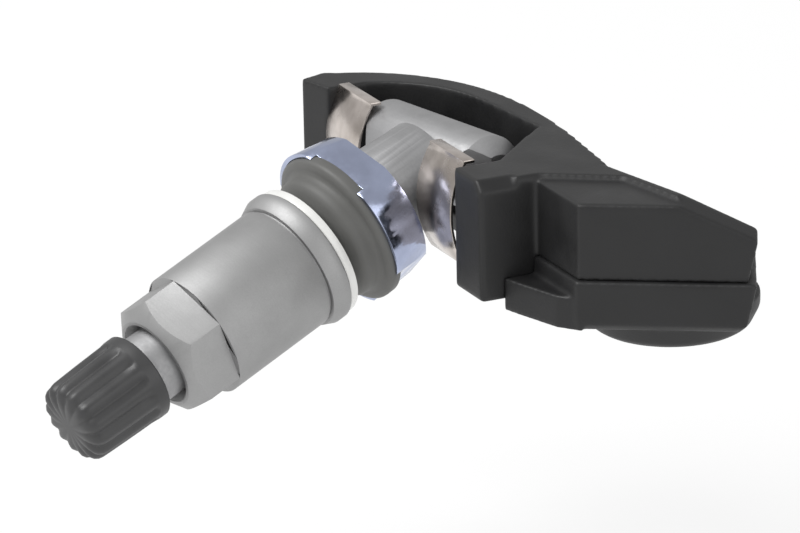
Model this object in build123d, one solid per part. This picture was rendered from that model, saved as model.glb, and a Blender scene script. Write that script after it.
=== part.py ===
from build123d import *
import os
from math import atan2, cos, degrees, radians, sin

# Clamp-in tyre pressure sensor: a metal tyre valve whose cross-bar head sits in the
# fork of a moulded sensor housing.  Millimetres.  The origin is the centre of the
# wheel's valve hole, on the stem's axis, at the face where the grommet meets the rim.
# +Z is up the fork's ears, X runs along the housing and the stem leaves towards -Y.

os.makedirs("parts", exist_ok=True)

# Attitude of the stem in the housing
stem_tilt = 21.0            # below the level of the housing
stem_yaw = 13.0             # turned from square to the fork
running_gap = 0.05          # radial clearance of moving fits
seat_gap = 0.02             # face to face clearance of moving fits

# Valve stem, measured along its axis from the valve hole
thread_radius = 3.85
pivot_reach = 17.6          # valve hole to the axis of the head bar
neck_radius = 5.6
neck_end_radius = 5.1
tip_station = 32.6
bore_radius = 1.5
core_bore_radius = 2.65
core_seat_radius = 2.05
core_bore_depth = 7.0
core_cone_length = 1.3
core_tube_depth = 20.0

# Head bar
bar_radius = 4.25
bar_half_length = 10.2
bar_end_chamfer = 1.7
bar_front_chamfer = 2.4

# Seat collar and grommet
collar_front_radius = 9.15
collar_rear_radius = 8.4
collar_length = 4.6
collar_front_station = -3.4
collar_flat_distance = 7.9
collar_flat_angle = 70.0
collar_cup_depth = 0.9
grommet_radius = 8.6
grommet_step_radius = 7.1
grommet_nose_radius = 5.6
grommet_tier = 1.6

# Washer and sleeve nut
washer_station = 0.9
washer_thickness = 1.0
washer_radius = 7.55
flange_radius = 7.75
flange_length = 2.2
sleeve_radius = 7.0
groove_depth = 0.25
groove_width = 0.35
nut_length = 20.6
hex_across_flats = 12.1
hex_length = 5.4
hex_angle = 28.5
nose_radius = 5.1
nose_length = 1.5
mouth_radius = 4.7
mouth_depth = 1.3

# Valve cap
cap_base_station = 24.7
cap_length = 9.7
cap_base_radius = 4.85
cap_tip_radius = 4.55
cap_collar_length = 1.3
cap_rib_count = 14
cap_rib_depth = 0.5
cap_seal_thickness = 0.6

# Valve core
plug_length = 4.2
plug_drop = 0.9
plug_tongue_length = 1.6
plug_tongue_width = 2.6
barrel_radius = 1.55
barrel_length = 9.4
barrel_bore = 1.05
barrel_ledge = 0.8
pin_radius = 0.45
pin_travel = 0.9
pin_proud = 0.5
pin_shoulder_radius = 0.9
pin_shoulder_length = 0.6
cup_radius = 1.45
cup_length = 1.2
spring_wire_radius = 0.12
spring_turns = 4

# Fork of the housing, measured from the axis of the head bar
ear_top = 4.5
ear_bottom = -8.4
left_ear_inner = -14.4
left_ear_outer = -18.9
left_ear_front = -7.1
left_ear_front_inner = -5.95
right_ear_inner = 16.8
right_ear_outer = 23.0
right_ear_front = -6.15
ear_corner_chamfer = 1.6
recess_floor = -6.3
floor_front = 1.4
cradle_width = 1.7
cradle_clearance = 0.06

# Body of the housing, measured from the axis of the head bar
body_top = 3.95
seam_height = -4.15
body_bottom = -9.5
pad_bottom = -12.2
body_front = 0.3
corner_x = 32.3
end_x = 41.8
end_y = 15.7
shell_wall = 1.3
lower_step = 0.5
ledge_top_height = -6.0
back_slope = 33.0
end_slope = 27.5
end_slope_turn = 26.3
battery_centre_x = 28.0
battery_centre_y = 13.0
battery_room_gap = 0.5
pad_wall = 0.8
pad_round = 2.4
end_lean = 13.0

# Inner parts, placed from the axis of the head bar
board_thickness = 0.8
battery_radius = 8.0
battery_height = 3.2
tab_thickness = 0.2
tab_width = 4.0
tab_turn = -60.0
chip_place = (29.0, 12.6)
chip_size = 5.0
chip_height = 1.6
port_radius = 0.8
port_boss_radius = 2.0
port_boss_bottom = -1.5
coil_place = (27.4, 4.1)
coil_length = 7.0
coil_core_size = 1.6
coil_flange = 0.8
coil_flange_size = 3.0
coil_winding_radius = 1.35
crystal_place = (25.8, 8.6)
crystal_length = 3.2
crystal_width = 2.5
crystal_height = 0.8
capacitor_place = (30.4, 7.6)
capacitor_length = 3.2
capacitor_width = 1.6
capacitor_height = 1.6
antenna_start = (31.8, 4.1)
antenna_end = (36.3, 11.35)
antenna_top = -1.2
antenna_wire_radius = 0.35

# Spring clips
clip_thickness = 0.35
clip_inner_left = -6.6
clip_inner_right = 7.9
clip_width = 8.1
clip_front = -4.6
clip_bow = 1.65
clip_bottom = -6.8
clip_top = 4.35
clip_fold = 1.3

axis = Vector(
    sin(radians(stem_yaw)) * cos(radians(stem_tilt)),
    -cos(radians(stem_yaw)) * cos(radians(stem_tilt)),
    -sin(radians(stem_tilt)),
)
bar_direction = Vector(cos(radians(stem_yaw)), sin(radians(stem_yaw)), 0)
pivot = axis * -pivot_reach
stem_frame = Plane(origin=(0, 0, 0), x_dir=bar_direction, z_dir=axis).location
bar_frame = Pos(*pivot) * Rot(Z=stem_yaw)
housing_frame = Pos(*pivot)


def disc(radius, start, length):
    """Cylinder on the Z axis from one station to start + length."""
    return Pos(0, 0, start) * Cylinder(radius, length, align=(Align.CENTER, Align.CENTER, Align.MIN))


def cone(start_radius, end_radius, start, length):
    """Cone frustum on the Z axis."""
    return Pos(0, 0, start) * Cone(
        start_radius, end_radius, length, align=(Align.CENTER, Align.CENTER, Align.MIN)
    )


def turned(points):
    """Solid turned about the Z axis from (radius, station) points."""
    outline = make_face(Polyline(*[(r, 0, z) for r, z in points], close=True))
    return revolve(outline, Axis.Z)


def prism(points, bottom, top):
    """Plan outline raised from one height to another."""
    return extrude(Pos(0, 0, bottom) * make_face(Polyline(*points, close=True)), top - bottom)


def slab(x0, x1, y0, y1, z0, z1):
    """Box between six named faces."""
    return Pos((x0 + x1) / 2, (y0 + y1) / 2, (z0 + z1) / 2) * Box(x1 - x0, y1 - y0, z1 - z0)


def export(shape, name):
    """Write one node."""
    export_step(shape, f"parts/{name}.step")


# Valve stem: tube, neck and head bar are one machined piece
neck_station = collar_front_station - collar_length
collar_floor = collar_front_station - collar_cup_depth


def head_bar():
    bar = Rot(Y=90) * Cylinder(bar_radius, 2 * bar_half_length)
    bar = chamfer(bar.edges().filter_by(GeomType.CIRCLE), bar_end_chamfer)
    corner = Rot(Z=45) * Box(2 * bar_front_chamfer, 2 * bar_front_chamfer, 4 * bar_radius)
    for side in (-1, 1):
        bar -= Pos(side * bar_half_length, -bar_radius, 0) * corner
    return bar


def valve_stem():
    tube = disc(thread_radius, neck_station, tip_station - neck_station)
    tube = chamfer(tube.edges().group_by(Axis.Z)[-1], 0.5)
    neck = cone(neck_end_radius, neck_radius, -pivot_reach + 1.5, neck_station + pivot_reach - 1.5)
    body = stem_frame * (tube + neck) + bar_frame * head_bar()
    bore = disc(bore_radius, -pivot_reach - 2 * bar_radius, tip_station + pivot_reach + 2 * bar_radius)
    core_room = disc(core_bore_radius, tip_station - core_bore_depth, core_bore_depth)
    taper = cone(
        core_seat_radius, core_bore_radius,
        tip_station - core_bore_depth - core_cone_length, core_cone_length,
    )
    tube_room = disc(core_seat_radius, tip_station - core_tube_depth, core_tube_depth)
    return body - stem_frame * (bore + core_room + taper + tube_room)


def seat_collar():
    ring = cone(collar_rear_radius, collar_front_radius, neck_station, collar_length)
    ring -= disc(grommet_radius + running_gap, collar_floor, collar_cup_depth)
    ring -= disc(thread_radius, neck_station, collar_length)
    for turn in range(3):
        flat = Pos(collar_flat_distance + 2, 0, collar_front_station) * Box(4, 20, 4 * collar_length)
        ring -= Rot(Z=collar_flat_angle + 120 * turn) * flat
    return ring


def grommet():
    step = collar_floor + grommet_tier
    profile = [
        (thread_radius, collar_floor),
        (grommet_radius, collar_floor),
        (grommet_radius, step - 0.5),
        (grommet_radius - 0.8, step),
        (grommet_step_radius, step + 0.15),
        (grommet_step_radius, -1.3),
        (grommet_step_radius - 0.3, -0.9),
        (grommet_nose_radius, 0),
        (thread_radius + 0.5, 0),
        (thread_radius, -0.6),
    ]
    return turned(profile)


# Nut, washer and cap: what unscrews
nut_station = washer_station + washer_thickness
nut_end = nut_station + nut_length


def washer():
    ring = disc(washer_radius, washer_station, washer_thickness)
    return ring - disc(thread_radius + 4 * running_gap, washer_station, washer_thickness)


def sleeve_nut():
    flange_end = nut_station + flange_length
    blank = turned([
        (0, nut_station),
        (flange_radius - 0.2, nut_station),
        (flange_radius, nut_station + 0.2),
        (flange_radius, nut_station + 0.5 * flange_length),
        (sleeve_radius + 0.25, flange_end),
        (sleeve_radius - groove_depth, flange_end),
        (sleeve_radius - groove_depth, flange_end + groove_width),
        (sleeve_radius, flange_end + groove_width),
        (sleeve_radius, nut_end - nose_length),
        (nose_radius, nut_end),
        (0, nut_end),
    ])
    hexagon = RegularPolygon(hex_across_flats / 2, 6, major_radius=False, rotation=hex_angle)
    ring = disc(2 * sleeve_radius, nut_end - hex_length, hex_length)
    keep = extrude(Pos(0, 0, nut_end - hex_length) * hexagon, hex_length)
    blank -= ring - keep
    blank -= disc(thread_radius + running_gap, nut_station, nut_length)
    blank -= cone(thread_radius + running_gap, mouth_radius, nut_end - mouth_depth, mouth_depth)
    return blank


cap_end = cap_base_station + cap_length
seal_station = tip_station + seat_gap


def valve_cap():
    collar_end = cap_base_station + cap_collar_length
    crown = turned([
        (0, cap_base_station),
        (cap_base_radius, cap_base_station),
        (cap_base_radius, collar_end),
        (cap_base_radius - 0.2, collar_end + 0.3),
        (cap_tip_radius, cap_end - 1.2),
        (cap_tip_radius - 0.35, cap_end - 0.4),
        (cap_tip_radius - 1.1, cap_end),
        (0, cap_end),
    ])
    flute_height = cap_length - cap_collar_length
    flute = Cylinder(cap_rib_depth, flute_height + 1, align=(Align.CENTER, Align.CENTER, Align.MIN))
    lean = Rot(Y=-2)
    for k in range(cap_rib_count):
        turn = Rot(Z=360 * k / cap_rib_count)
        crown -= turn * Pos(cap_base_radius, 0, collar_end + 0.3) * lean * flute
    room = seal_station + cap_seal_thickness + seat_gap
    return crown - disc(thread_radius + running_gap, cap_base_station, room - cap_base_station)


def cap_seal():
    return disc(thread_radius, seal_station, cap_seal_thickness)


# Valve core, screwed into the tip of the stem
plug_top = tip_station - plug_drop
plug_bottom = plug_top - plug_length
barrel_bottom = plug_bottom - barrel_length
ledge_top = barrel_bottom + barrel_ledge
pin_top = plug_top + pin_proud
spring_top = plug_bottom - 2.0
shoulder_bottom = spring_top + pin_travel - 0.02


def core_plug():
    plug = disc(core_bore_radius, plug_bottom, plug_length - plug_tongue_length)
    tongue = slab(
        -core_bore_radius, core_bore_radius, -plug_tongue_width / 2, plug_tongue_width / 2,
        plug_top - plug_tongue_length, plug_top,
    )
    plug += tongue & disc(core_bore_radius, plug_bottom, plug_length)
    return plug - disc(pin_radius + 4 * running_gap, plug_bottom, plug_length)


def core_barrel():
    tube = disc(barrel_radius, barrel_bottom, barrel_length)
    tube -= disc(barrel_bore, ledge_top, barrel_length - barrel_ledge)
    return tube - disc(pin_radius + 2 * running_gap, barrel_bottom, barrel_length)


def core_gasket():
    top = tip_station - core_bore_depth
    ring = cone(core_seat_radius, core_bore_radius, top - core_cone_length, core_cone_length)
    return ring - disc(barrel_radius, top - core_cone_length, core_cone_length)


def core_pin():
    bottom = barrel_bottom - cup_length - 0.4
    pin = disc(pin_radius, bottom, pin_top - bottom)
    return pin + disc(pin_shoulder_radius, shoulder_bottom, pin_shoulder_length)


def core_cup():
    cup = disc(cup_radius, barrel_bottom - seat_gap - cup_length, cup_length)
    return cup - disc(pin_radius, barrel_bottom - seat_gap - cup_length, cup_length)


def core_spring():
    mean_radius = barrel_bore - spring_wire_radius - running_gap
    start = ledge_top + spring_wire_radius
    length = spring_top - spring_wire_radius - start
    path = Pos(0, 0, start) * Helix(length / spring_turns, length, mean_radius)
    section = Plane(origin=path @ 0, z_dir=path % 0) * RegularPolygon(spring_wire_radius, 4)
    return sweep(section, path=path, is_frenet=True)


# Fork and body of the upper housing, in plan
arch = [(-19.2, -2.6), (-14.8, 4.0), (-8.4, 8.05), (2.0, 10.0), (12.0, 9.65), (right_ear_outer, 8.3)]
strip_corner = (27.7, 7.9)
body_back = [(33.0, 20.4), (27.3, 22.6), (20.6, 21.4), (14.4, 15.0), (12.0, 7.0)]


def fork_plan():
    back = Spline(*reversed(arch))
    front = Polyline(
        arch[0], (left_ear_outer - 1.1, left_ear_front + 3.1), (left_ear_outer, left_ear_front),
        (left_ear_inner, left_ear_front_inner), (left_ear_inner, left_ear_front_inner + 4),
        (right_ear_inner, left_ear_front_inner + 4), (right_ear_inner, right_ear_front),
        (right_ear_outer, right_ear_front), arch[-1],
    )
    return make_face(Wire([*back.edges(), *front.edges()]))


def recess_plan():
    lip = Spline((left_ear_inner, -1.6), (-12.6, 1.6), (-9.3, 4.6), (-0.9, 7.0), (8.4, 7.9))
    rest = Polyline(
        (8.4, 7.9), (11.5, 4.4), (right_ear_inner, -1.0), (right_ear_inner, right_ear_front - 2),
        (left_ear_inner, left_ear_front - 2), (left_ear_inner, -1.6),
    )
    return make_face(Wire([*lip.edges(), *rest.edges()]))


def body_plan():
    """Outline of the body from the hollow beside the ear round to the back."""
    outline = [(12.0, body_front), (corner_x, body_front), (end_x, end_y), *body_back]
    plan = make_face(Polyline(*outline, close=True))
    corners = plan.vertices().filter_by(lambda v: v.Y > end_y + 1)
    return fillet(corners, 3.5)


def above(point, slope, turn):
    """Everything over a plane through point that falls away at slope towards turn."""
    tilt = Rot(Z=turn) * Rot(Y=slope)
    return Pos(*point) * tilt * Box(200, 200, 60, align=(Align.CENTER, Align.CENTER, Align.MIN))


def over_the_body(drop):
    """What lies over the body's falling back and end, lowered by drop."""
    back = above((strip_corner[0], strip_corner[1] + 0.8, ear_top - drop), back_slope, 90 + 11.8)
    end = above((37.5, 8.7, body_top - drop), end_slope, end_slope_turn)
    return back + end


def beyond_the_end(height, inset):
    """What lies beyond the end wall, which leans inwards going down from height."""
    turn = degrees(atan2(end_x - body_back[0][0], body_back[0][1] - end_y))
    tilt = Rot(Z=turn) * Rot(Y=end_lean)
    block = Box(60, 60, 60, align=(Align.MIN, Align.CENTER, Align.CENTER))
    return Pos(end_x, end_y, height) * tilt * Pos(-inset, 0, 0) * block


def battery_room():
    place = Pos(battery_centre_x, battery_centre_y, 0)
    return place * disc(battery_radius + battery_room_gap, battery_floor(), seam_height - battery_floor())


def cradle():
    """Two saddles under the head bar's ends."""
    saddles = Part()
    for side in (-1, 1):
        middle = side * (bar_half_length - bar_end_chamfer - cradle_width / 2)
        saddles += slab(
            middle - cradle_width / 2, middle + cradle_width / 2, 0, bar_radius + 1.2, recess_floor, -0.6,
        )
    saddles -= Rot(Y=90) * Cylinder(bar_radius + cradle_clearance, 3 * bar_half_length)
    return Rot(Z=stem_yaw) * saddles


def cavity(grow_down):
    """Room for the board and battery, inside the walls."""
    plan = offset(body_plan(), -shell_wall, kind=Kind.INTERSECTION)
    room = extrude(Pos(0, 0, seam_height - grow_down) * plan, body_top - shell_wall - seam_height + grow_down)
    room -= slab(-40, right_ear_outer + 0.4, -20, arch[-1][1] + shell_wall + 2, -20, 20)
    return room - over_the_body(shell_wall)


def upper_housing():
    fork = extrude(Pos(0, 0, ear_bottom) * fork_plan(), ear_top - ear_bottom)
    body = extrude(Pos(0, 0, seam_height) * body_plan(), ear_top - seam_height)
    flat_top = prism(
        [(right_ear_outer - 3.6, -3.3), (22.1, -0.45), strip_corner, (40.7, 10.5), (60, 0), (40, -12), (20, -4)],
        body_top, body_top + 10,
    )
    body -= over_the_body(0) + beyond_the_end(0, 0)
    shell = fork + (body - flat_top)
    shell -= flat_top & slab(right_ear_outer - 0.2, 60, -20, 20, -10, 20)
    shell -= extrude(Pos(0, 0, recess_floor) * recess_plan(), 40)
    shell -= slab(left_ear_inner, right_ear_inner, -20, floor_front, -20, recess_floor + 1)
    corner = Pos(right_ear_outer, 0, ear_top) * Rot(Y=45) * Box(ear_corner_chamfer, 40, ear_corner_chamfer)
    shell -= corner & slab(right_ear_outer - 5, right_ear_outer + 5, -20, -2, -20, 20)
    shell += cradle()
    shell -= (cavity(0) - beyond_the_end(0, shell_wall)) + battery_room()
    shell += Pos(*chip_place, 0) * disc(port_boss_radius, port_boss_bottom, 1.6)
    shell -= Pos(*chip_place, 0) * disc(port_radius, port_boss_bottom, 10)
    for clip in (clip_shape(clip_inner_left, -1), clip_shape(clip_inner_right, 1)):
        shell -= clip
    return shell


def pad():
    """Round cover of the battery under the body."""
    radius = battery_radius + battery_room_gap + pad_wall
    place = Pos(battery_centre_x, battery_centre_y, 0)
    cover = place * disc(radius, pad_bottom, ear_bottom - pad_bottom)
    cover = chamfer(cover.edges().group_by(Axis.Z)[0], pad_round, pad_round / 2)
    return chamfer(cover.edges().group_by(Axis.Z)[0], pad_round / 4)


def lower_housing():
    plan = offset(body_plan(), lower_step, kind=Kind.INTERSECTION)
    shell = extrude(Pos(0, 0, body_bottom) * plan, seam_height - body_bottom)
    shell -= beyond_the_end(seam_height, 0)
    shell = chamfer(shell.edges().group_by(Axis.Z)[0], 0.8)
    ledge = prism(
        [(right_ear_outer, 2), (right_ear_outer, -3.7), (25.5, -3.0), (30.5, -1.45), (corner_x + 0.7, 0.4)],
        body_bottom, ledge_top_height,
    )
    shell += ledge
    shell -= extrude(Pos(0, 0, -30) * fork_plan(), 60)
    shell -= slab(-40, right_ear_outer, -20, arch[-1][1] - 0.4, -30, 20)
    shell += pad()
    floor = body_bottom + shell_wall
    shell -= cavity(seam_height - floor) - beyond_the_end(seam_height, shell_wall)
    return shell - battery_room() - board_shape(2 * running_gap)


# What the body holds
def battery_floor():
    return pad_bottom + shell_wall


def board_shape(grow):
    """Board under the seam, let into the lower housing's rim; grow gives its room."""
    plan = offset(body_plan(), grow - shell_wall, kind=Kind.INTERSECTION)
    board = extrude(Pos(0, 0, seam_height - board_thickness) * plan, board_thickness)
    board -= beyond_the_end(seam_height, shell_wall - grow)
    keep_out = slab(-40, right_ear_outer + 0.6 - grow, -20, arch[-1][1] + shell_wall + 2.2 - grow, -20, 20)
    return board - keep_out


def battery():
    cell = disc(battery_radius, battery_floor() + tab_thickness, battery_height)
    return Pos(battery_centre_x, battery_centre_y, 0) * cell


def battery_tab(bottom, reach, leg_x):
    """Flat strip across the cell with one leg up to the board."""
    inner = min(-reach, leg_x)
    outer = max(reach, leg_x)
    strip = slab(inner, outer, -tab_width / 2, tab_width / 2, bottom, bottom + tab_thickness)
    leg_centre = leg_x - tab_thickness / 2 if leg_x > 0 else leg_x + tab_thickness / 2
    leg = slab(
        leg_centre - tab_thickness / 2, leg_centre + tab_thickness / 2, -tab_width / 4, tab_width / 4,
        bottom, seam_height - board_thickness,
    )
    return Pos(battery_centre_x, battery_centre_y, 0) * Rot(Z=tab_turn) * (strip + leg)


def on_board(place, length, width, height):
    """Block standing on the board."""
    x, y = place
    return slab(
        x - length / 2, x + length / 2, y - width / 2, y + width / 2, seam_height, seam_height + height,
    )


def port_seal():
    """Rubber sleeve from the chip up to the port."""
    bottom = seam_height + chip_height
    height = port_boss_bottom - bottom
    sleeve = disc(port_boss_radius - 0.3, bottom, height) - disc(port_radius, bottom, height)
    return Pos(*chip_place, 0) * sleeve


def coil_core():
    """Ferrite drum on its side: two square flanges and the bar between them."""
    centre_height = seam_height + coil_flange_size / 2
    bar = slab(
        -coil_length / 2, coil_length / 2, -coil_core_size / 2, coil_core_size / 2,
        centre_height - coil_core_size / 2, centre_height + coil_core_size / 2,
    )
    for side in (-1, 1):
        middle = side * (coil_length - coil_flange) / 2
        bar += slab(
            middle - coil_flange / 2, middle + coil_flange / 2, -coil_flange_size / 2, coil_flange_size / 2,
            seam_height, seam_height + coil_flange_size,
        )
    return Pos(*coil_place, 0) * bar


def coil_winding():
    length = coil_length - 2 * coil_flange
    winding = Pos(*coil_place, seam_height + coil_flange_size / 2) * Rot(Y=90) * Cylinder(
        coil_winding_radius, length
    )
    return winding - coil_core()


def antenna():
    """Wire hoop standing on the board beside the long wall."""
    start = Vector(*antenna_start, seam_height)
    end = Vector(*antenna_end, seam_height)
    rise = Vector(0, 0, antenna_top - seam_height)
    path = FilletPolyline(start, start + rise, end + rise, end, radius=1.0)
    return sweep(Plane(origin=start, z_dir=(0, 0, 1)) * RegularPolygon(antenna_wire_radius, 6), path=path)


def clip_shape(inner, side):
    """Bowed spring leaf with its top edge folded back over the fork."""
    middle = (clip_top + clip_bottom) / 2
    front = clip_front - clip_bow
    outer_arc = ThreePointArc(
        (0, clip_front, clip_bottom), (0, front, middle), (0, clip_front, clip_top),
    )
    inner_arc = ThreePointArc(
        (0, clip_front + clip_thickness, clip_top), (0, front + clip_thickness, middle),
        (0, clip_front + clip_thickness, clip_bottom),
    )
    face = make_face([
        outer_arc, Line(outer_arc @ 1, inner_arc @ 0), inner_arc, Line(inner_arc @ 1, outer_arc @ 0),
    ])
    leaf = extrude(face, clip_width * side, dir=(1, 0, 0))
    fold = slab(
        min(0, clip_width * side), max(0, clip_width * side),
        clip_front, clip_front + clip_fold, clip_top - 0.02, clip_top + clip_thickness,
    )
    return Pos(inner, 0, 0) * (leaf + fold)


for name, shape in {
    "valve_stem": valve_stem(),
    "seat_collar": stem_frame * seat_collar(),
    "grommet": stem_frame * grommet(),
    "washer": stem_frame * washer(),
    "sleeve_nut": stem_frame * sleeve_nut(),
    "valve_cap": stem_frame * valve_cap(),
    "cap_seal": stem_frame * cap_seal(),
    "core_plug": stem_frame * core_plug(),
    "core_barrel": stem_frame * core_barrel(),
    "core_gasket": stem_frame * core_gasket(),
    "core_pin": stem_frame * core_pin(),
    "core_cup": stem_frame * core_cup(),
    "core_spring": stem_frame * core_spring(),
    "upper_housing": housing_frame * upper_housing(),
    "lower_housing": housing_frame * lower_housing(),
    "left_clip": housing_frame * clip_shape(clip_inner_left, -1),
    "right_clip": housing_frame * clip_shape(clip_inner_right, 1),
    "circuit_board": housing_frame * board_shape(0),
    "battery": housing_frame * battery(),
    "battery_tab_plus": housing_frame * battery_tab(battery_floor(), 6.0, battery_radius + 0.3),
    "battery_tab_minus": housing_frame * battery_tab(
        battery_floor() + tab_thickness + battery_height, 6.0, -6.2
    ),
    "sensor_chip": housing_frame * on_board(chip_place, chip_size, chip_size, chip_height),
    "port_seal": housing_frame * port_seal(),
    "coil_core": housing_frame * coil_core(),
    "coil_winding": housing_frame * coil_winding(),
    "crystal": housing_frame * on_board(crystal_place, crystal_length, crystal_width, crystal_height),
    "storage_capacitor": housing_frame * on_board(
        capacitor_place, capacitor_length, capacitor_width, capacitor_height
    ),
    "antenna": housing_frame * antenna(),
}.items():
    export(shape, name)
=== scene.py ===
import math

import bpy
from mathutils import Matrix, Vector


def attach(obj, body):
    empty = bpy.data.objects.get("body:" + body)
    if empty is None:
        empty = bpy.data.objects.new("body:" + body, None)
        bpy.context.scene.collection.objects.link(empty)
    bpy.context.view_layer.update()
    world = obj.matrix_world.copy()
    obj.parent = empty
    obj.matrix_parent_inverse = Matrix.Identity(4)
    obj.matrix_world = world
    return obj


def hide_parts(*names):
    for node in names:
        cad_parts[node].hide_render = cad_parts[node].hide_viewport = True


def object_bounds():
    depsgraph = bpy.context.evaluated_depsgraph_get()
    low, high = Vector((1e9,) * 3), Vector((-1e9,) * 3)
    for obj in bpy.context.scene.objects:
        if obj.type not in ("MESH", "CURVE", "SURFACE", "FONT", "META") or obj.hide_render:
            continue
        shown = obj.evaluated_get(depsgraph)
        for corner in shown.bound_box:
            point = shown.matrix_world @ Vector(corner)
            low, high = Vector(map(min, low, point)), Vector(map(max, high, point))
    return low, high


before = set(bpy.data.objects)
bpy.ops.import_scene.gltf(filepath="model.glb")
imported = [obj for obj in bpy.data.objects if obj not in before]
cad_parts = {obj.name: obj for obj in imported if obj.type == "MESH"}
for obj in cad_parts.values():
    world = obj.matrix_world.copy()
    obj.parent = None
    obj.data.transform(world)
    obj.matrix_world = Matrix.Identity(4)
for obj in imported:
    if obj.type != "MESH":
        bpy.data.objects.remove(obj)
cad_box = [list(corner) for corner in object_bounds()]
bpy.ops.object.select_all(action="DESELECT")

# Valve stem
# One machined piece of aluminium alloy: the tube that goes through the wheel, its neck
# and the cross bar that lies in the housing's fork.  Turned, then tumbled to a soft grey.
MM = 0.001
weld_distance = 0.002 * MM
stem_tilt = math.radians(21)
stem_yaw = math.radians(13)
pivot_reach = 17.6 * MM
stem_axis = Vector((
    math.sin(stem_yaw) * math.cos(stem_tilt),
    -math.cos(stem_yaw) * math.cos(stem_tilt),
    -math.sin(stem_tilt),
))
bar_axis = Vector((math.cos(stem_yaw), math.sin(stem_yaw), 0))
stem_frame = Matrix((bar_axis, stem_axis.cross(bar_axis), stem_axis)).transposed().to_4x4()
head_centre = stem_axis * -pivot_reach


def refined_copy(node, edge_round, body, sharpest=32, steps=2):
    """A node's own form with its edges broken or moulded round, standing for that node."""
    bpy.ops.object.select_all(action="DESELECT")
    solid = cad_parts[node]
    piece = bpy.data.objects.new(node + "_finished", solid.data.copy())
    bpy.context.scene.collection.objects.link(piece)
    piece.data.materials.clear()
    bpy.context.view_layer.objects.active = piece
    piece.select_set(True)
    bpy.ops.mesh.customdata_custom_splitnormals_clear()
    bpy.ops.object.mode_set(mode="EDIT")
    bpy.ops.mesh.select_all(action="SELECT")
    bpy.ops.mesh.remove_doubles(threshold=weld_distance)
    bpy.ops.mesh.dissolve_limited(angle_limit=math.radians(1.5))
    bpy.ops.object.mode_set(mode="OBJECT")
    if edge_round > 0:
        bevel = piece.modifiers.new("edges", "BEVEL")
        bevel.width = edge_round * MM
        bevel.segments = steps
        bevel.limit_method = "ANGLE"
        bevel.angle_limit = math.radians(sharpest)
        bevel.use_clamp_overlap = True
        bpy.ops.object.modifier_apply(modifier="edges")
    bpy.ops.object.shade_smooth_by_angle(angle=math.radians(sharpest))
    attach(piece, body)
    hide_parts(node)
    return piece


def group_socket(group, name, kind, way, value=None):
    """Named socket on a node group."""
    socket = group.interface.new_socket(name=name, in_out=way, socket_type=kind)
    if value is not None:
        socket.default_value = value


def machined_look():
    """Fine rings left by the lathe, blurred blotches of tumbling, and their height."""
    group = bpy.data.node_groups.new("machined_look", "ShaderNodeTree")
    group_socket(group, "Vector", "NodeSocketVector", "INPUT")
    group_socket(group, "Dark", "NodeSocketColor", "INPUT", (0.3, 0.3, 0.3, 1))
    group_socket(group, "Pale", "NodeSocketColor", "INPUT", (0.5, 0.5, 0.5, 1))
    group_socket(group, "Roughness Low", "NodeSocketFloat", "INPUT", 0.3)
    group_socket(group, "Roughness High", "NodeSocketFloat", "INPUT", 0.5)
    group_socket(group, "Rings per Metre", "NodeSocketFloat", "INPUT", 5000.0)
    group_socket(group, "Grain per Metre", "NodeSocketFloat", "INPUT", 3000.0)
    group_socket(group, "Color", "NodeSocketColor", "OUTPUT")
    group_socket(group, "Roughness", "NodeSocketFloat", "OUTPUT")
    group_socket(group, "Height", "NodeSocketFloat", "OUTPUT")
    nodes = group.nodes
    links = group.links
    given = nodes.new("NodeGroupInput")
    result = nodes.new("NodeGroupOutput")
    parts = nodes.new("ShaderNodeSeparateXYZ")
    links.new(given.outputs["Vector"], parts.inputs[0])
    station = nodes.new("ShaderNodeMath")
    station.operation = "MULTIPLY"
    links.new(parts.outputs["Z"], station.inputs[0])
    links.new(given.outputs["Rings per Metre"], station.inputs[1])
    rings = nodes.new("ShaderNodeTexNoise")
    rings.noise_dimensions = "1D"
    rings.inputs["Scale"].default_value = 1.0
    rings.inputs["Detail"].default_value = 2.0
    links.new(station.outputs[0], rings.inputs["W"])
    grain = nodes.new("ShaderNodeTexNoise")
    grain.inputs["Detail"].default_value = 4.0
    links.new(given.outputs["Vector"], grain.inputs["Vector"])
    links.new(given.outputs["Grain per Metre"], grain.inputs["Scale"])
    cloud = nodes.new("ShaderNodeTexNoise")
    cloud.inputs["Scale"].default_value = 260.0
    cloud.inputs["Detail"].default_value = 3.0
    links.new(given.outputs["Vector"], cloud.inputs["Vector"])
    height = nodes.new("ShaderNodeMath")
    height.operation = "ADD"
    links.new(rings.outputs["Fac"], height.inputs[0])
    links.new(grain.outputs["Fac"], height.inputs[1])
    tone = nodes.new("ShaderNodeMapRange")
    tone.inputs["From Min"].default_value = 0.35
    tone.inputs["From Max"].default_value = 0.65
    links.new(cloud.outputs["Fac"], tone.inputs["Value"])
    color = nodes.new("ShaderNodeMix")
    color.data_type = "RGBA"
    links.new(tone.outputs["Result"], color.inputs["Factor"])
    links.new(given.outputs["Dark"], color.inputs["A"])
    links.new(given.outputs["Pale"], color.inputs["B"])
    rough = nodes.new("ShaderNodeMapRange")
    rough.inputs["From Min"].default_value = 0.3
    rough.inputs["From Max"].default_value = 0.7
    links.new(grain.outputs["Fac"], rough.inputs["Value"])
    links.new(given.outputs["Roughness Low"], rough.inputs["To Min"])
    links.new(given.outputs["Roughness High"], rough.inputs["To Max"])
    links.new(color.outputs["Result"], result.inputs["Color"])
    links.new(rough.outputs["Result"], result.inputs["Roughness"])
    links.new(height.outputs[0], result.inputs["Height"])
    return group


machined = machined_look()


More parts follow.
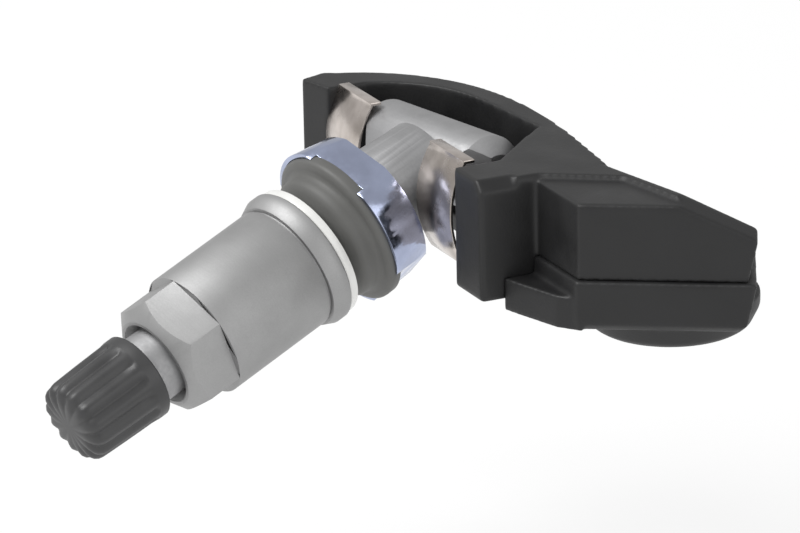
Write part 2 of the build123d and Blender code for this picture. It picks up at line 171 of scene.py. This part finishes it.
def patterned(name, group, values, metallic, bump, turn=stem_frame, origin=(0, 0, 0)):
    """Material whose colour, roughness and bump come from a group on the part's own axes."""
    material = bpy.data.materials.new(name)
    material.use_nodes = True
    nodes = material.node_tree.nodes
    links = material.node_tree.links
    shader = nodes["Principled BSDF"]
    shader.inputs["Metallic"].default_value = metallic
    place = nodes.new("ShaderNodeTexCoord")
    axes = nodes.new("ShaderNodeMapping")
    inverse = turn.to_3x3().inverted()
    axes.inputs["Rotation"].default_value = inverse.to_euler()
    axes.inputs["Location"].default_value = inverse @ -Vector(origin)
    look = nodes.new("ShaderNodeGroup")
    look.node_tree = group
    for key, value in values.items():
        look.inputs[key].default_value = value
    relief = nodes.new("ShaderNodeBump")
    relief.inputs["Strength"].default_value = bump
    relief.inputs["Distance"].default_value = 0.02 * MM
    links.new(place.outputs["Object"], axes.inputs["Vector"])
    links.new(axes.outputs["Vector"], look.inputs["Vector"])
    links.new(look.outputs["Color"], shader.inputs["Base Color"])
    links.new(look.outputs["Roughness"], shader.inputs["Roughness"])
    links.new(look.outputs["Height"], relief.inputs["Height"])
    links.new(relief.outputs["Normal"], shader.inputs["Normal"])
    return material


def paint(piece, material):
    """Give a piece, or a node of the frame, one material all over."""
    piece.data.materials.clear()
    piece.data.materials.append(material)


def metal(name, dark, pale, low, high, rings=5000.0, grain=3000.0, bump=0.4):
    """Machined metal in two tones."""
    values = {
        "Dark": (*dark, 1), "Pale": (*pale, 1), "Roughness Low": low, "Roughness High": high,
        "Rings per Metre": rings, "Grain per Metre": grain,
    }
    return patterned(name, machined, values, 1.0, bump)


stem_metal = metal("stem_aluminium", (0.37, 0.37, 0.375), (0.42, 0.42, 0.425), 0.52, 0.66)
stem = refined_copy("valve_stem", edge_round=0.15, body="valve")
paint(stem, stem_metal)

# Seat collar
# The zinc plated steel ring that the rubber seats in.  It is turned with a shallow cup in
# front and flats milled on it, then passivated to a cold blue shine.
collar_metal = metal(
    "collar_zinc", (0.38, 0.42, 0.56), (0.46, 0.51, 0.68), 0.12, 0.24, rings=2600.0, grain=2500.0, bump=0.25
)
collar = refined_copy("seat_collar", edge_round=0.2, body="valve")
paint(collar, collar_metal)

# Grommet
# The soft rubber seal squeezed against the rim: a wide tier that sits in the collar's cup,
# a narrower one and a rounded nose.  Moulded in one piece with softly flowing steps.
grommet_sides = 96
grommet_profile = [
    (3.85, -4.3), (8.45, -4.3), (8.58, -4.15), (8.6, -3.4), (8.56, -3.1), (8.3, -2.85), (7.75, -2.72),
    (7.35, -2.6), (7.14, -2.3), (7.1, -1.8), (7.06, -1.35), (6.85, -0.98), (6.4, -0.62), (5.9, -0.3),
    (5.55, -0.06), (5.2, -0.02), (4.5, -0.02), (4.2, -0.12), (3.95, -0.4), (3.85, -0.7), (3.85, -4.3),
]


def turned_piece(name, profile, sides, body):
    """Ring drawn out step by step from a circle, then closed and put on the stem's axis."""
    bpy.ops.object.select_all(action="DESELECT")
    radius, station = profile[0]
    bpy.ops.mesh.primitive_circle_add(vertices=sides, radius=radius * MM)
    piece = bpy.context.object
    piece.name = name
    bpy.ops.object.mode_set(mode="EDIT")
    bpy.ops.transform.translate(value=(0, 0, station * MM))
    for next_radius, next_station in profile[1:]:
        step = (0, 0, (next_station - station) * MM)
        bpy.ops.mesh.extrude_region_move(TRANSFORM_OT_translate={"value": step})
        grow = next_radius / radius
        bpy.ops.transform.resize(value=(grow, grow, 1), center_override=(0, 0, next_station * MM))
        radius = next_radius
        station = next_station
    bpy.ops.mesh.select_all(action="SELECT")
    bpy.ops.mesh.remove_doubles(threshold=weld_distance)
    bpy.ops.mesh.normals_make_consistent(inside=False)
    bpy.ops.object.mode_set(mode="OBJECT")
    piece.matrix_world = stem_frame
    bpy.ops.object.transform_apply(location=True, rotation=True, scale=True)
    bpy.ops.object.shade_smooth_by_angle(angle=math.radians(40))
    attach(piece, body)
    return piece


def moulded_look():
    """Fine grain of a mould, with slow changes of tone and a pale bloom on some of it."""
    group = bpy.data.node_groups.new("moulded_look", "ShaderNodeTree")
    group_socket(group, "Vector", "NodeSocketVector", "INPUT")
    group_socket(group, "Dark", "NodeSocketColor", "INPUT", (0.02, 0.02, 0.02, 1))
    group_socket(group, "Pale", "NodeSocketColor", "INPUT", (0.03, 0.03, 0.03, 1))
    group_socket(group, "Roughness Low", "NodeSocketFloat", "INPUT", 0.45)
    group_socket(group, "Roughness High", "NodeSocketFloat", "INPUT", 0.6)
    group_socket(group, "Grain per Metre", "NodeSocketFloat", "INPUT", 4000.0)
    group_socket(group, "Color", "NodeSocketColor", "OUTPUT")
    group_socket(group, "Roughness", "NodeSocketFloat", "OUTPUT")
    group_socket(group, "Height", "NodeSocketFloat", "OUTPUT")
    nodes = group.nodes
    links = group.links
    given = nodes.new("NodeGroupInput")
    result = nodes.new("NodeGroupOutput")
    grain = nodes.new("ShaderNodeTexNoise")
    grain.inputs["Detail"].default_value = 3.0
    links.new(given.outputs["Vector"], grain.inputs["Vector"])
    links.new(given.outputs["Grain per Metre"], grain.inputs["Scale"])
    slow = nodes.new("ShaderNodeTexNoise")
    slow.inputs["Scale"].default_value = 180.0
    slow.inputs["Detail"].default_value = 4.0
    links.new(given.outputs["Vector"], slow.inputs["Vector"])
    tone = nodes.new("ShaderNodeMapRange")
    tone.inputs["From Min"].default_value = 0.35
    tone.inputs["From Max"].default_value = 0.7
    links.new(slow.outputs["Fac"], tone.inputs["Value"])
    color = nodes.new("ShaderNodeMix")
    color.data_type = "RGBA"
    links.new(tone.outputs["Result"], color.inputs["Factor"])
    links.new(given.outputs["Dark"], color.inputs["A"])
    links.new(given.outputs["Pale"], color.inputs["B"])
    rough = nodes.new("ShaderNodeMapRange")
    rough.inputs["From Min"].default_value = 0.3
    rough.inputs["From Max"].default_value = 0.7
    links.new(slow.outputs["Fac"], rough.inputs["Value"])
    links.new(given.outputs["Roughness Low"], rough.inputs["To Min"])
    links.new(given.outputs["Roughness High"], rough.inputs["To Max"])
    links.new(color.outputs["Result"], result.inputs["Color"])
    links.new(rough.outputs["Result"], result.inputs["Roughness"])
    links.new(grain.outputs["Fac"], result.inputs["Height"])
    return group


moulded = moulded_look()


def plastic(name, dark, pale, low, high, grain=4000.0, bump=0.5):
    """Moulded plastic or rubber in two near tones."""
    values = {
        "Dark": (*dark, 1), "Pale": (*pale, 1), "Roughness Low": low, "Roughness High": high,
        "Grain per Metre": grain,
    }
    return patterned(name, moulded, values, 0.0, bump)


grommet = turned_piece("grommet_finished", grommet_profile, grommet_sides, "valve")
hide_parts("grommet")
grommet_rubber = plastic(
    "grommet_rubber", (0.105, 0.105, 0.10), (0.125, 0.125, 0.12), 0.5, 0.62, grain=2500.0, bump=0.35
)
paint(grommet, grommet_rubber)

# Washer
# A thin slip ring of natural nylon under the nut, slightly see-through and waxy.
washer = refined_copy("washer", edge_round=0.15, body="washer")
washer_nylon = plastic("washer_nylon", (0.70, 0.70, 0.68), (0.80, 0.80, 0.78), 0.22, 0.36, 1500.0, 0.2)
washer_nylon.node_tree.nodes["Principled BSDF"].inputs["Coat Weight"].default_value = 0.3
paint(washer, washer_nylon)

# Sleeve nut
# Long aluminium nut with a flange at its foot and a hexagon at its far end, blasted to an
# even grey.  It unscrews over the stem together with the washer.
nut_metal = metal(
    "nut_aluminium", (0.39, 0.39, 0.39), (0.42, 0.42, 0.42), 0.54, 0.64,
    rings=3500.0, grain=6500.0, bump=0.3,
)
nut = refined_copy("sleeve_nut", edge_round=0.12, body="nut", sharpest=25)
paint(nut, nut_metal)

# Valve core
# Brass plug, barrel and pin with a plastic sealing cone and a steel spring, hidden in the
# tube's tip.  The parts are turned, the plug's tongue is milled.
core_metal = metal("core_nickel_brass", (0.55, 0.42, 0.22), (0.68, 0.54, 0.30), 0.2, 0.32)
for name in ("core_plug", "core_barrel", "core_pin", "core_cup"):
    paint(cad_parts[name], core_metal)
gasket_plastic = plastic("core_gasket_plastic", (0.5, 0.06, 0.04), (0.6, 0.08, 0.05), 0.35, 0.5)
paint(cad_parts["core_gasket"], gasket_plastic)
spring_steel = metal("spring_steel", (0.5, 0.5, 0.51), (0.62, 0.62, 0.63), 0.2, 0.3)
paint(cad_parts["core_spring"], spring_steel)

# Valve cap
# Dark grey moulded cap with fourteen finger ribs, a plain band at its foot and a rounded
# crown, with a soft rubber disc inside that seals on the tube's tip.
rib_count = 14
rib_depth = 0.42
rib_start = 26.1
rib_run_in = 0.4
rib_fullness = 0.6
bore_reach = 3.95
crown_start = 33.5
crown_top = 33.95
crown_middle = 2.0
crown_blend = 1.6
crown_sink = 0.5
sides_per_rib = 12
cap_profile = [
    (3.9, 24.7), (4.7, 24.7), (4.81, 24.82), (4.81, 25.75), (4.76, 25.95), (4.76, 26.1), (4.75, 26.5),
    (4.72, 28.0), (4.67, 30.0), (4.6, 32.0), (4.56, 33.0), (4.45, 33.5), (4.2, 33.9), (3.8, 34.2),
    (3.2, 34.36), (2.4, 34.4), (1.2, 34.4), (0.001, 34.4), (0.001, 33.24), (1.9, 33.24), (3.9, 33.24),
    (3.9, 29.0), (3.9, 24.7),
]
cap = turned_piece("valve_cap_finished", cap_profile, rib_count * sides_per_rib, "cap")
to_stem = stem_frame.inverted()
for vertex in cap.data.vertices:
    spot = to_stem @ vertex.co
    reach = math.hypot(spot.x, spot.y) / MM
    station = spot.z / MM
    outside = reach > bore_reach or station > crown_start
    if reach > crown_middle and station > rib_start and outside:
        fade_in = min(1.0, (station - rib_start) / rib_run_in)
        fade_out = min(1.0, (reach - crown_middle) / crown_blend)
        wave = 0.5 - 0.5 * math.cos(rib_count * math.atan2(spot.y, spot.x))
        cut = rib_depth * fade_in * fade_out * (1 - wave ** rib_fullness)
        shrink = (reach - cut) / reach
        sink = crown_sink * cut if station > crown_top else 0.0
        vertex.co = stem_frame @ Vector((spot.x * shrink, spot.y * shrink, spot.z - sink * MM))
cap.data.update()
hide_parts("valve_cap")
paint(cap, plastic("cap_plastic", (0.036, 0.036, 0.037), (0.050, 0.050, 0.051), 0.36, 0.5, 3000.0, 0.3))
paint(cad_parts["cap_seal"], plastic("seal_rubber", (0.03, 0.03, 0.03), (0.04, 0.04, 0.04), 0.5, 0.6))

# Upper housing
# Glass filled black nylon, moulded in one shot with its fork, rim and falling back.  The
# edges come out of the tool slightly round and the faces carry a fine grain.
shell_cell = 0.24
shell_passes = 7
housing_black = plastic(
    "housing_nylon", (0.008, 0.008, 0.0085), (0.013, 0.013, 0.0135), 0.44, 0.58, 3600.0, 0.8
)


def soft_edged_copy(node, cell, passes, body):
    """A moulded shell's own form, drawn again in even cells and eased, so every edge is round."""
    piece = refined_copy(node, 0, body)
    cells = piece.modifiers.new("cells", "REMESH")
    cells.mode = "VOXEL"
    cells.voxel_size = cell * MM
    bpy.ops.object.modifier_apply(modifier="cells")
    ease = piece.modifiers.new("ease", "SMOOTH")
    ease.factor = 0.5
    ease.iterations = passes
    bpy.ops.object.modifier_apply(modifier="ease")
    bpy.ops.object.shade_smooth()
    return piece


upper = soft_edged_copy("upper_housing", shell_cell, shell_passes, "housing")
paint(upper, housing_black)

# Lower housing
# The shallow lower shell of the same black nylon, with a round swelling over the cell.
lower = soft_edged_copy("lower_housing", shell_cell, shell_passes, "housing")
paint(lower, housing_black)

# Spring clips
# Two leaves of thin nickel plated spring steel on the fork's open side, each folded over
# the floor of the fork, with the slightly crumpled shine of pressed strip.
clip_metal = metal(
    "clip_steel", (0.42, 0.375, 0.34), (0.66, 0.60, 0.56), 0.14, 0.3, rings=600.0, grain=420.0, bump=1.0
)
for side in ("left", "right"):
    clip = refined_copy(side + "_clip", edge_round=0.08, body="housing")
    paint(clip, clip_metal)

# Inside the housing
# Board, coin cell and its two tabs, sensor chip with its rubber sleeve, ferrite coil,
# crystal, capacitor and antenna wire.  They lie inside the shells and keep the frame's own forms.
copper = metal("winding_copper", (0.42, 0.18, 0.08), (0.60, 0.28, 0.14), 0.2, 0.35, rings=9000.0)
cell_steel = metal("cell_steel", (0.5, 0.5, 0.51), (0.62, 0.62, 0.63), 0.16, 0.3)
nickel = metal("tab_nickel", (0.5, 0.48, 0.45), (0.62, 0.6, 0.56), 0.2, 0.34)
inner_finish = {
    "circuit_board": plastic("board_laminate", (0.02, 0.14, 0.06), (0.03, 0.18, 0.08), 0.3, 0.45),
    "battery": cell_steel,
    "battery_tab_plus": nickel,
    "battery_tab_minus": nickel,
    "sensor_chip": plastic("chip_resin", (0.025, 0.025, 0.025), (0.035, 0.035, 0.035), 0.4, 0.5),
    "port_seal": plastic("port_rubber", (0.03, 0.03, 0.03), (0.04, 0.04, 0.04), 0.5, 0.6),
    "coil_core": plastic("coil_ferrite", (0.055, 0.055, 0.06), (0.08, 0.08, 0.085), 0.5, 0.65),
    "coil_winding": copper,
    "crystal": cell_steel,
    "storage_capacitor": plastic("capacitor_resin", (0.6, 0.34, 0.07), (0.74, 0.46, 0.12), 0.4, 0.5),
    "antenna": nickel,
}
for name, material in inner_finish.items():
    paint(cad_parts[name], material)

# Camera
# The photograph was taken from well to the side and a little above, with a long lens that
# keeps the housing and the far cap at nearly one scale.  Distances are in metres.
FOCAL_PIXELS = 5670
PHOTO_WIDTH = 800
VIEW_DISTANCE = 0.600
view_turn = math.radians(65)
view_rise = math.radians(19)
view_roll = math.radians(-1.15)
towards_camera = Vector((
    math.sin(view_turn) * math.cos(view_rise),
    -math.cos(view_turn) * math.cos(view_rise),
    math.sin(view_rise),
))
level_right = Vector((math.cos(view_turn), math.sin(view_turn), 0))
level_up = towards_camera.cross(level_right)
camera_right = level_right * math.cos(view_roll) + level_up * math.sin(view_roll)
camera_up = level_up * math.cos(view_roll) - level_right * math.sin(view_roll)
aim_right = -0.003915
aim_up = -0.011693
bpy.ops.object.camera_add()
camera = bpy.context.object
camera.name = "camera"
camera.data.lens = camera.data.sensor_width * FOCAL_PIXELS / PHOTO_WIDTH
camera.data.clip_start = 0.05
camera.data.clip_end = 20
camera.matrix_world = Matrix.Translation(
    head_centre + towards_camera * VIEW_DISTANCE + camera_right * aim_right + camera_up * aim_up
) @ Matrix((camera_right, camera_up, towards_camera)).transposed().to_4x4()
bpy.context.scene.camera = camera
bpy.context.scene.view_settings.view_transform = "Standard"

# Floor and light
# A white studio: a wide pale floor a little under the part, one large soft lamp over the
# left shoulder, one weak lamp from the right and an even pale room all round.
FLOOR_GAP = 0.022
FLOOR_SIDE = 6
bpy.ops.mesh.primitive_plane_add(size=FLOOR_SIDE, location=(0, 0, cad_box[0][2] - FLOOR_GAP))
floor = bpy.context.object
floor.name = "floor"
paper = bpy.data.materials.new("white_paper")
paper.use_nodes = True
nodes = paper.node_tree.nodes
links = paper.node_tree.links
nodes["Principled BSDF"].inputs["Base Color"].default_value = (0.93, 0.93, 0.93, 1)
nodes["Principled BSDF"].inputs["Roughness"].default_value = 0.9
nodes["Principled BSDF"].inputs["Specular IOR Level"].default_value = 0.1
glow = nodes.new("ShaderNodeEmission")
glow.inputs["Strength"].default_value = 1.0
mix = nodes.new("ShaderNodeMixShader")
path = nodes.new("ShaderNodeLightPath")
seen = nodes.new("ShaderNodeMath")
seen.operation = "MAXIMUM"
links.new(path.outputs["Is Camera Ray"], seen.inputs[0])
links.new(path.outputs["Is Glossy Ray"], seen.inputs[1])
share = nodes.new("ShaderNodeMath")
share.operation = "MULTIPLY"
share.inputs[1].default_value = 0.8
links.new(seen.outputs[0], share.inputs[0])
links.new(share.outputs[0], mix.inputs[0])
links.new(nodes["Principled BSDF"].outputs[0], mix.inputs[1])
links.new(glow.outputs[0], mix.inputs[2])
links.new(mix.outputs[0], nodes["Material Output"].inputs["Surface"])
floor.data.materials.append(paper)

room = bpy.data.worlds.new("pale_room")
bpy.context.scene.world = room
room.use_nodes = True
nodes = room.node_tree.nodes
links = room.node_tree.links
path = nodes.new("ShaderNodeLightPath")
strength = nodes.new("ShaderNodeMix")
strength.data_type = "FLOAT"
strength.inputs["A"].default_value = 0.62
strength.inputs["B"].default_value = 1.0
links.new(path.outputs["Is Camera Ray"], strength.inputs["Factor"])
links.new(strength.outputs["Result"], nodes["Background"].inputs["Strength"])
nodes["Background"].inputs["Color"].default_value = (1, 1, 1, 1)

lamp_aim = Vector((0.005, 0, 0))


def soft_lamp(name, place, size, power):
    """Square area lamp that looks at the part's middle."""
    bpy.ops.object.light_add(type="AREA", location=place)
    lamp = bpy.context.object
    lamp.name = name
    lamp.data.size = size
    lamp.data.energy = power
    lamp.rotation_euler = (lamp_aim - lamp.location).to_track_quat("-Z", "Y").to_euler()


soft_lamp("key_lamp", (-0.10, -0.55, 0.75), 0.5, 6.5)
soft_lamp("fill_lamp", (0.75, 0.25, 0.25), 0.6, 1.2)
bpy.ops.object.select_all(action="DESELECT")
